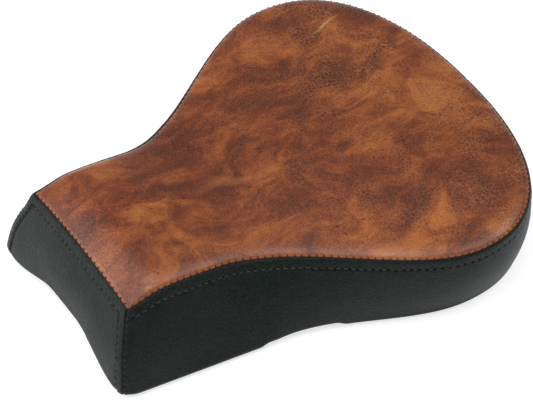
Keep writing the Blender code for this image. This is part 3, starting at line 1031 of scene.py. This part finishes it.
def seam_ticks(outer, inner, run, seed):
    """Short threads that cross the top seam from the vinyl's fold to the leather."""
    rng = random.Random(seed)
    made = []
    for hole in np.arange(SEAM_PITCH, run[-1] - SEAM_PITCH * 0.5, SEAM_PITCH):
        a = at(hole, run, outer)
        b = at(hole + rng.uniform(-0.0003, 0.0003), run, inner)
        middle = (a + b) / 2 + [0, 0, 0.0001]
        near, far = (end * 0.7 + middle * 0.3 for end in (a, b))
        made.append([a - [0, 0, 0.0003], near, middle, far, b - [0, 0, 0.0005]])
    return made


def tick_root(inner, inward):
    """Where a seam's ticks enter the leather, a little way in from the seam."""
    inner[:, :2] += inward * TICK_REACH
    inner[:, 2] += ROLL_HEIGHT * (1 - math.exp(-TICK_REACH / ROLL_WIDTH)) - 0.0002
    return inner


def make_stitching(walls, front, thread, dark):
    """Topstitching along the band and the front corners, and the short stitches of the seams themselves."""
    rows = []
    ticks = []
    shown = slice(3, len(LEVELS) - 10)
    for side, (points, normal, down) in walls.items():
        if np.sum(normal[..., 0]) * side < 0:
            normal = -normal
        runs = np.broadcast_to(ALONG_SEAM[:, None], down.shape)
        path, lean, run = line_at(points, normal, down, runs, BAND)
        rows += running_stitches(path[4:-3], lean[4:-3], run[4:-3], TOPSTITCH_PITCH, 5 + side)
        inward = -outward(SEAM, STATIONS) * [side, 1]
        inner = tick_root(top_sector(STATIONS, np.zeros(len(STATIONS)), side), inward)
        ticks += seam_ticks(points[:, 1], inner, ALONG_SEAM, 40 + side)
        for row, lean_row, seed in ((1, 2, 60 + side), (-2, -3, 71)):
            if row > 0 or side > 0:
                edge = points[row][shown], normal[lean_row][shown], down[row][shown]
                ticks += running_stitches(*edge, SEAM_PITCH, seed, TICK_SUNK)
    points, normal, down, left = front
    if np.sum(normal[..., 1]) > 0:
        normal = -normal
    width = left[-1]
    path, lean, run = line_at(points, normal, down, left, BAND)
    keep = (left[:, 4] > BAND) & (left[:, 4] < width[4] - BAND)
    rows += running_stitches(path[keep], lean[keep], run[keep], TOPSTITCH_PITCH, 81)
    keep = (down[len(down) // 2] > BAND) & (LEVELS < 1.6)
    for order, measure in ((slice(None), left), (slice(None, None, -1), width - left)):
        grids = [grid[order].swapaxes(0, 1) for grid in (points, normal, measure, down + CORNER_PHASE)]
        path, lean, run = line_at(*grids, BAND)
        rows += running_stitches(path[keep], lean[keep], run[keep], TOPSTITCH_PITCH, 91)
    across = np.clip(points[:, 1, 0] / SEAM["neck"], -1, 1)
    inner = tick_root(front_sector(across, np.zeros(len(across))), np.array([0.0, 1.0]))
    ticks += seam_ticks(points[:, 1], inner, left[:, 0], 97)
    own(tubes("topstitching", rows, THREAD, thread), "black_vinyl")
    own(tubes("seam_stitching", ticks, THREAD * 0.9, dark), "black_vinyl")


# --- inside and underside --------------------------------------------------


def make_foam(look):
    """The foam block: domed above, upright all round, and shaped to the pan below."""
    stations, _ = even_stations(100)
    across = np.linspace(-1, 1, 33)
    inward = (np.linspace(0, 1, 22) ** 1.2)[None, :, None]
    share = np.linspace(0, 1, 12)[None, :, None]
    grids = []

    def shrink(plan):
        middle = np.array([0.0, FOAM_MIDDLE])
        return middle + (plan - middle) * FOAM_SHARE

    def above(plan):
        z = top_height(plan[..., 0], plan[..., 1], SWELL) - FOAM_DROP
        return np.concatenate([shrink(plan), z[..., None]], -1)

    def below(plan):
        small = shrink(plan)
        y = np.maximum(small[..., 1], HEM["front"] + PAN_FRONT_INSET)
        z = pan_bottom(small[..., 0], y) + PAN + 0.0008
        return np.stack([small[..., 0], y, z], -1)

    def add_part(seam, hem, middle, side):
        for grid in (
            above(mix(seam, middle, inward)),
            below(mix(hem, middle, inward)),
            mix(above(seam), below(hem), share),
        ):
            grids.append(grid * np.array([side, 1, 1]))

    def straight(edge):
        return np.stack([edge["neck"] * across, 0 * across + edge["front"]], -1)[:, None]

    for side in (1, -1):
        rims = (outline(edge, stations)[:, None] for edge in (SEAM, HEM))
        add_part(*rims, spine(stations)[:, None], side)
    add_part(straight(SEAM), straight(HEM), spine(np.zeros(1))[:, None], 1)
    mesh = grid_mesh("foam_core", grids, merge=0.0001)
    mesh.shade_smooth()
    foam = own(link("foam_core", mesh, look), "foam", "foam_cushion")


def make_pan(look):
    """The arched pan as a fine sheet, with its rim behind the hem's lip."""
    stations = np.concatenate([np.linspace(0, 1, 90)[:-1], np.linspace(1, 1.985, 70)])
    edge = outline(HEM, stations) - outward(HEM, stations) * PAN_INSET
    edge[0, 1] = HEM["front"] + PAN_FRONT_INSET
    edge[:, 1] = np.maximum(edge[:, 1], HEM["front"] + PAN_FRONT_INSET)
    keep = np.concatenate([[True], np.diff(edge[:, 1]) > 1e-5])
    edge = edge[keep]
    share = np.sin(np.linspace(-1, 1, 97) * math.pi / 2)
    x = edge[:, :1] * share[None, :]
    y = np.broadcast_to(edge[:, 1:], x.shape)
    points = np.stack([x, y, pan_bottom(x, y)], -1)
    mesh = grid_mesh("base_pan_fine", [points])
    face_towards(mesh, (0, 0, -1))
    thicken(own(link("base_pan_fine", mesh, look), "pan_plastic", "base_pan"), PAN)


def close_rim(form):
    bmesh.ops.bridge_loops(form, edges=[edge for edge in form.edges if edge.is_boundary])


def make_carpets(look):
    """Carpet pads that lie close under the pan, with a soft rounded edge."""
    for name, side in (("right", 1), ("left", -1)):
        low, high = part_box(f"carpet_pad_{name}")
        inner = min(abs(low.x), abs(high.x))
        y_axis = np.linspace(low.y, high.y, 120)
        cad_outer = half_width(HEM, np.minimum(y_axis, HEM["middle"])) - 0.046
        cad_outer = np.minimum(cad_outer, max(abs(low.x), abs(high.x)))
        cad_outer = cad_outer - 0.010 * smooth((y_axis - high.y + 0.03) / 0.03) ** 2
        share = np.linspace(0, 1, 44)
        x = inner + (cad_outer - inner)[:, None] * share[None, :]
        y = np.broadcast_to(y_axis[:, None], x.shape)
        across = np.minimum(x - inner, cad_outer[:, None] - x)
        edge = np.minimum(across, np.minimum(y - low.y, high.y - y))
        pile = 0.0030 * np.clip(edge / 0.0022, 0, 1) ** 0.5
        rng = np.random.default_rng(3)
        tufts = 0.00025 * rng.uniform(-1, 1, x.shape) * np.clip(edge / 0.002, 0, 1)
        under = pan_bottom(x, y) - 0.0004
        outer = np.stack([side * x, y, under - 0.0004 - pile + tufts], -1)
        inner_face = np.stack([side * x, y, under], -1)
        mesh = grid_mesh(f"carpet_{name}", [outer, inner_face])
        rework(mesh, close_rim, align)
        mesh.shade_smooth()
        own(link(f"carpet_{name}", mesh, look), "carpet", f"carpet_pad_{name}")


def turned(name, profile, look, segments=40):
    """A solid turned about Z from a profile of radii and heights."""
    places = []
    rings = []
    for radius, height in profile:
        count = segments if radius else 1
        rings.append([len(places) + k % count for k in range(segments)])
        for turn in 2 * math.pi * np.arange(count) / segments:
            places.append((radius * math.cos(turn), radius * math.sin(turn), height))
    faces = []
    for one, two in zip(rings, rings[1:]):
        for k in range(segments):
            m = (k + 1) % segments
            faces.append(list(dict.fromkeys([one[k], one[m], two[m], two[k]])))
    mesh = net(name, places, faces)
    rework(mesh, align)
    mesh.shade_smooth()
    mesh.set_sharp_from_angle(angle=math.radians(35))
    return link(name, mesh, look)


def bolt_profile(head, tip):
    """A button-head bolt from its tip, up in the tee nut, to the face of its head below."""
    dome = [(head * math.cos(t), -0.0006 - 0.0027 * math.sin(t)) for t in np.linspace(0, 1.05, 7)]
    profile = [(0, tip), (SHANK * 0.8, tip), (SHANK, tip - 0.001)]
    for k in range(THREAD_TURNS):
        crest = (tip - 0.0014) * (1 - k / THREAD_TURNS)
        profile += [(SHANK, crest), (SHANK * 0.88, crest - 0.0005)]
    return profile + [(SHANK, 0.0), (head, 0.0)] + dome + [(0.0028, -HEAD), (0, -HEAD)]


def cut_socket(bolt):
    """Cuts the hexagon socket out of a bolt's head."""
    shape = bpy.data.meshes.new("socket")
    size = {"segments": 6, "radius1": SOCKET, "radius2": SOCKET, "depth": 0.004}
    where = Matrix.Translation((0, 0, -HEAD))
    rework(shape, lambda form: bmesh.ops.create_cone(form, cap_ends=True, matrix=where, **size))
    tool = put("socket", shape)
    cut = bolt.modifiers.new("socket", "BOOLEAN")
    cut.object = tool
    cut.operation = "DIFFERENCE"
    bpy.context.view_layer.update()
    graph = bpy.context.evaluated_depsgraph_get()
    shaped = bpy.data.meshes.new_from_object(bolt.evaluated_get(graph))
    bolt.modifiers.clear()
    bolt.data = shaped
    bpy.data.objects.remove(tool)


def make_bolts(look):
    """Button-head bolts with a hexagon socket, in place of the plain turned ones."""
    for end in ("front", "rear"):
        for side in ("right", "left"):
            node = f"{end}_{side}_bolt"
            low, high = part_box(node)
            seat = low.z + HEAD_SEAT
            bolt = turned(f"{node}_fine", bolt_profile((high.x - low.x) / 2, high.z - seat), look)
            cut_socket(bolt)
            middle = (low + high) / 2
            bolt.data.transform(Matrix.Translation((middle.x, middle.y, seat)))
            own(bolt, "zinc_steel", node)


def make_staples(look):
    """Staples that hold the hem's lip to the pan, square to the edge."""
    made = []
    steps = np.linalg.norm(np.diff(outline(HEM, STATIONS), axis=0), axis=1)
    run = np.concatenate([[0], np.cumsum(steps)])
    rng = random.Random(8)
    for place in np.arange(0.018, run[-1] - 0.004, STAPLE_PITCH):
        station = np.interp(place, run, STATIONS) + rng.uniform(-0.002, 0.002)
        out = outward(HEM, np.array(station))
        centre = outline(HEM, station) - out * (STAPLE_INSET + rng.uniform(-0.0007, 0.0007))
        lean = rng.uniform(-0.25, 0.25)
        along = np.array([-out[1], out[0]]) * math.cos(lean) + out * math.sin(lean)
        z = float(relief(centre[1])) + 0.0001
        for side in (1, -1):
            made.append(staple(centre, along, z, side))
    for x in np.arange(-0.062, 0.0621, 0.0155):
        z = float(arch_height(np.array(x), np.array(HEM["front"]))) + 0.0002
        made.append(staple(np.array([x, HEM["front"] + STAPLE_INSET]), np.array([1.0, 0.0]), z, 1))
    own(tubes("staples", made, 0.0004, look, 6), "zinc_steel")


def staple(centre, along, z, side):
    """A staple's path: one leg, the crown that lies under the lip, and the other leg."""
    leg = ((1.0, 0.0016), (0.97, 0.0001), (0.8, -0.0001))
    steps = [(-share, rise) for share, rise in leg] + [(0.0, -0.0001)] + list(leg[::-1])
    spots = [(*(centre + along * STAPLE * share), z + rise) for share, rise in steps]
    return [(side * x, y, height) for x, y, height in spots]


def dress_nodes(looks):
    """The CAD nodes that keep their shape get their finished materials."""
    for name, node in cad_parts.items():
        for key, look in looks.items():
            if key in name:
                node.data.materials.clear()
                node.data.materials.append(look)


# --- camera and light ------------------------------------------------------


def look_along(obj, direction):
    obj.rotation_mode = "QUATERNION"
    obj.rotation_quaternion = direction.to_track_quat("-Z", "Y")


def make_camera():
    turn, tilt = math.radians(AZIMUTH), math.radians(ELEVATION)
    level = math.cos(tilt)
    back = Vector((math.sin(turn) * level, -math.cos(turn) * level, math.sin(tilt)))
    data = bpy.data.cameras.new("camera")
    data.sensor_width = 36
    data.lens = LENS
    data.clip_start = 0.05
    data.clip_end = 50
    camera = put("camera", data)
    camera.location = AIM + back * DISTANCE
    look_along(camera, -back)
    bpy.context.scene.camera = camera


def area_light(name, where, aim, size, power):
    data = bpy.data.lights.new(name, "AREA")
    data.shape = "ELLIPSE"
    data.size, data.size_y = size
    data.energy = power
    light = put(name, data)
    light.location = where
    look_along(light, Vector(aim) - Vector(where))


def make_studio():
    world = bpy.data.worlds.new("studio")
    world.use_nodes = True
    sky = world.node_tree.nodes["Background"]
    sky.inputs["Color"].default_value = (1, 1, 1, 1)
    sky.inputs["Strength"].default_value = 0.22
    bpy.context.scene.world = world
    for light in LIGHTS:
        area_light(*light)
    corners = [(FLOOR_REACH * x, FLOOR_REACH * y, 0) for x, y in ((-1, -1), (1, -1), (1, 1), (-1, 1))]
    floor = link("floor", net("floor", corners, [(0, 1, 2, 3)]), floor_look())
    floor.location.z = -0.0004
    bpy.context.scene.view_settings.view_transform = "Standard"


def main():
    leather = leather_look()
    vinyl = vinyl_look()
    thread = thread_look("black_thread_look", (0.030, 0.037, 0.034))
    dark = thread_look("seam_thread_look", (0.010, 0.010, 0.010))
    zinc = metal_look("zinc_look", (0.50, 0.50, 0.48), (0.68, 0.68, 0.66), 0.32, 1.0, 6.0)
    steel = metal_look("bracket_look", (0.010, 0.010, 0.011), (0.026, 0.026, 0.028), 0.42, 0.3, 2.0)
    make_top(leather)
    walls = {side: make_side(side, vinyl) for side in (1, -1)}
    front = make_front(vinyl)
    make_stitching(walls, front, thread, dark)
    make_foam(foam_look())
    make_pan(plastic_look())
    make_carpets(carpet_look())
    make_bolts(zinc)
    make_staples(zinc)
    dress_nodes({"bracket": steel, "washer": zinc, "tee_nut": zinc, "bumper": rubber_look()})
    make_camera()
    make_studio()


main()
